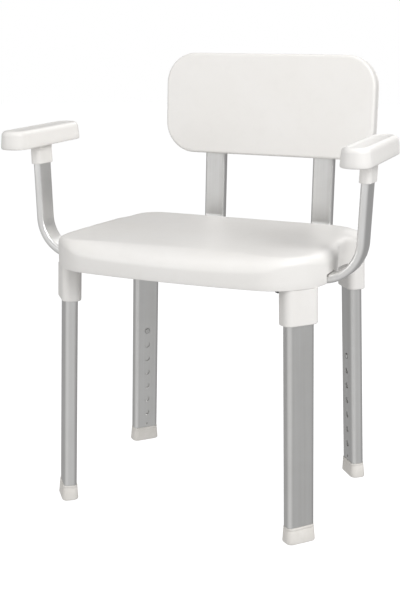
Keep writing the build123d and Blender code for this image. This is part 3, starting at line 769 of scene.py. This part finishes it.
def make_front_panel(material):
    """The backrest's front shell: gently crowned face, rolled rim, parting line near the rear."""
    matrix = panel_frame()
    half = PANEL_THICK / 2
    profile = []
    for inset, part in ((0.078, 0.0), (0.055, 0.35), (0.035, 0.7), (0.015, 0.93), (0.0058, 1.0)):
        profile.append((inset, half - PANEL_CROWN * part ** 2))
    for step in range(1, 11):
        angle = math.pi / 2 * step / 10
        inset = PANEL_ROLL * (1 - math.sin(angle))
        profile.append((inset, half - PANEL_CROWN - PANEL_ROLL * (1 - math.cos(angle))))
    back = -half
    profile += [(0.0, back + 0.0062), (0.0002, back + 0.0058), (0.0008, back + 0.0055)]
    profile += [(0.0008, back + 0.0049), (0.0002, back + 0.0046), (0.0, back + 0.0042)]
    profile += [(0.0, back + 0.0012), (0.0004, back + 0.0004), (0.0012, back)]
    profile += [(PANEL_WALL - 0.0004, back), (PANEL_WALL, back + 0.0004)]
    profile += [(PANEL_WALL, half - 0.009), (0.0095, half - 0.0045), (0.078, half - PANEL_WALL)]
    rings = []
    for inset, depth in profile:
        corner = max(PANEL_CORNER - inset, 0.004)
        outline = rounded_rect(PANEL_WIDE - 2 * inset, PANEL_HIGH - 2 * inset, corner, steps=16)
        rings.append([tuple(matrix @ Vector((x, y, depth))) for x, y in outline])
    bm = bmesh.new()
    loft(bm, rings, cap_start=True, cap_end=True)
    bmesh.ops.recalc_face_normals(bm, faces=bm.faces[:])
    slots = []
    for name in SIDES:
        low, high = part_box(f"{name}_back_post")
        panel_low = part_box("backrest_front_panel")[0]
        slots.append((
            (low.x - PANEL_SLOT_CLEAR, high.y - PANEL_SLOT_DEEP, panel_low.z - 0.01),
            (high.x + PANEL_SLOT_CLEAR, high.y + 0.02, panel_low.z + PANEL_SLOT_HIGH),
        ))
    bm = cut_boxes(bm, slots)
    add_piece(
        "backrest_panel_shell", bm, material, "back", ["backrest_front_panel"]
    )


# ---------------------------------------------------------------- armrest pads

PAD_WIDE = 0.043
PAD_LONG = 0.181
PAD_HIGH = 0.027
PAD_CORNER = 0.020
PAD_RISE = 0.03
PAD_DRAFT = 5.0
PAD_WALL = 0.0025
PAD_SHOULDER = 0.0078
PAD_FOOT = 0.0030


def make_pad(name, material):
    """An armrest pad: rounded ends, drafted sides, soft shoulder, slightly dished top, open below."""
    low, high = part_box(f"{name}_armrest_pad")
    up = Vector((0, -PAD_RISE, 1)).normalized()
    x_axis = Vector((1, 0, 0))
    base = Vector(((low.x + high.x) / 2, (low.y + high.y) / 2, 0))
    top_middle = high.z - PAD_LONG / 2 * PAD_RISE - 0.0005
    origin = Vector((base.x, base.y, top_middle)) - up * PAD_HIGH
    matrix = axes_matrix(x_axis, up.cross(x_axis), up, origin)
    draft = math.tan(math.radians(PAD_DRAFT))
    profile = [(0.0120, 0.0075), (PAD_WALL + 0.0006, 0.0075), (PAD_WALL, 0.0068)]
    profile += [(PAD_WALL, 0.0006), (PAD_WALL - 0.0005, 0.0001)]
    profile += [(0.0014, 0.0), (0.0007, 0.0004), (0.0002, 0.0014), (0.0, PAD_FOOT)]
    wall_top = PAD_HIGH - PAD_SHOULDER
    for part in (0.35, 0.7, 1.0):
        height = PAD_FOOT + (wall_top - PAD_FOOT) * part
        profile.append((draft * (height - PAD_FOOT), height))
    start = draft * (wall_top - PAD_FOOT)
    for step in range(1, 11):
        angle = math.pi / 2 * step / 10
        profile.append((
            start + PAD_SHOULDER * (1 - math.cos(angle)) * 0.95, wall_top + PAD_SHOULDER * math.sin(angle)
        ))
    edge = profile[-1][0]
    for extra, sink in ((0.0012, 0.0002), (0.0026, 0.0006), (0.0045, 0.0009), (0.0075, 0.0010)):
        profile.append((edge + extra, PAD_HIGH - sink))
    rings = []
    for inset, height in profile:
        corner = max(PAD_CORNER - inset * 0.95, 0.0006)
        outline = rounded_rect(PAD_WIDE - 2 * inset, PAD_LONG - 2 * inset, corner, steps=14)
        rings.append([tuple(matrix @ Vector((x, y, height))) for x, y in outline])
    bm = bmesh.new()
    loft(bm, rings, cap_start=True, cap_end=True)
    add_piece(
        f"{name}_arm_pad", bm, material, f"{name}_arm", [f"{name}_armrest_pad"]
    )


# ---------------------------------------------------------------- feet

FOOT_WIDE = 0.0468
FOOT_THICK = 0.0252
FOOT_HIGH = 0.024
FOOT_FLARE = 4.0
INNER_LEG_WIDE = 0.0386
INNER_LEG_THICK = 0.0155
INNER_LEG_CORNER = 0.0042
FOOT_CORNER = 0.009
FOOT_SOLE = 0.0065


def make_foot(place, material):
    """A soft ferrule: flared wall, a bead under the rim, a rounded and treaded sole."""
    matrix = leg_frame(place)
    up = matrix.col[2].to_3d()
    slope = math.tan(math.radians(FOOT_FLARE))

    def ring(inset, height, level):
        """A ring at a height up the leg, or level with the floor."""
        corner = max(FOOT_CORNER - inset, 0.003)
        points = []
        for x, y in rounded_rect(FOOT_WIDE - 2 * inset, FOOT_THICK - 2 * inset, corner):
            point = matrix @ Vector((x, y, height))
            if level:
                point += up * ((height - point.z) / up.z)
            points.append(tuple(point))
        return points

    rings = []
    sole = [(0.0105, 0.0012), (0.0092, 0.0012), (0.0088, 0.0), (0.0070, 0.0), (0.0066, 0.0010)]
    sole += [(0.0056, 0.0010), (0.0052, 0.0), (0.0018, 0.0), (0.0009, 0.0003), (0.0003, 0.0009)]
    for inset, height in sole:
        rings.append(ring(inset, height, True))
    rings.append(ring(0.0, 0.0020, True))
    wall = [(0.008, 0), (0.0188, 0), (0.0194, 0.0004), (0.0200, 0.0005), (0.0206, 0.0004)]
    wall += [(0.0212, 0), (0.0232, 0), (0.0238, 0.0003), (0.0240, 0.0009)]
    for height, groove in wall:
        rings.append(ring(slope * height + groove, height, False))
    for height in (FOOT_HIGH, FOOT_SOLE):
        hole = rounded_rect(INNER_LEG_WIDE, INNER_LEG_THICK, INNER_LEG_CORNER)
        rings.append([tuple(matrix @ Vector((x, y, height))) for x, y in hole])
    bm = bmesh.new()
    loft(bm, rings, cap_start=True, cap_end=True)
    add_piece(f"{place}_ferrule", bm, material, f"{place}_leg", [f"{place}_foot"])


# ---------------------------------------------------------------- finishes of the CAD nodes

def dress_cad_nodes(finishes):
    """Gives each CAD node that stays in view the material of its slot, or its own."""
    slots = {part["node"]: part["material_slot"] for part in frame["record"]["subparts"]}
    for node, piece in frame["nodes"].items():
        material = finishes.get(node) or finishes[slots[node]]
        piece.data.materials.clear()
        piece.data.materials.append(material)


WHITE_CLEAN = (0.81, 0.795, 0.775)
WHITE_AGED = (0.79, 0.772, 0.745)

add_camera()
add_world()
add_stage()
add_softbox("key_softbox", 66, 34, 2.6, 1.5, 1.5, 44)
add_softbox("front_fill", -40, 18, 3.0, 1.6, 1.6, 14)
add_softbox("top_softbox", -10, 78, 2.4, 1.8, 1.8, 13)
add_softbox("rear_softbox", 172, 38, 3.0, 1.6, 1.6, 16)

seat_white = moulded_white("seat_white", WHITE_CLEAN, WHITE_AGED, 0.36, 0.25)
panel_white = moulded_white("backrest_white", WHITE_CLEAN, WHITE_AGED, 0.40, 0.25)
pad_white = moulded_white("armrest_white", WHITE_CLEAN, WHITE_AGED, 0.34, 0.2)
sleeve_white = moulded_white("socket_white", WHITE_CLEAN, WHITE_AGED, 0.42, 0.3)
tube_metal = anodised("anodised_posts", uv=True)
# The arms use the posts' anodised aluminium with lighter colours: a painted highlight for the brighter light the
# arms catch. The real arms are likely the same metal as the posts.
arm_metal_painted_lighter = anodised("anodised_arms_painted_lighter", uv=True, dark=(0.74, 0.735, 0.72), light=(0.80, 0.797, 0.79))
rubber = foot_rubber("ferrule_rubber")
steel = bright_metal("small_steel", (0.52, 0.52, 0.51), (0.66, 0.66, 0.65), 0.28)
brass = bright_metal("nut_brass", (0.62, 0.46, 0.22), (0.78, 0.62, 0.33), 0.32)
finishes = {
    "seat_plastic": seat_white,
    "backrest_plastic": panel_white,
    "armrest_plastic": pad_white,
    "moulded_plastic": sleeve_white,
    "anodised_tube": tube_metal,
    "foot_rubber": rubber,
    "button_steel": steel,
    "spring_steel": steel,
    "screw_steel": steel,
    "nut_brass": brass,
    "knob_plastic": knob_plastic("knob_grey"),
}
for place in PLACES:
    leg_turn = leg_frame(place).to_3x3().inverted().to_euler()
    leg_metal = anodised(f"anodised_{place}_leg", turn=tuple(leg_turn))
    finishes[f"{place}_outer_leg"] = leg_metal
    finishes[f"{place}_inner_leg"] = leg_metal
    make_foot(place, rubber)
dress_cad_nodes(finishes)

make_seat(seat_white)
make_front_panel(panel_white)
for name, side in SIDES.items():
    # the arm tubes take the metal that is painted lighter (painted highlight)
    make_arm_tube(name, side, arm_metal_painted_lighter)
    make_back_post(name, tube_metal)
    make_pad(name, pad_white)

scene.view_settings.view_transform = "Standard"
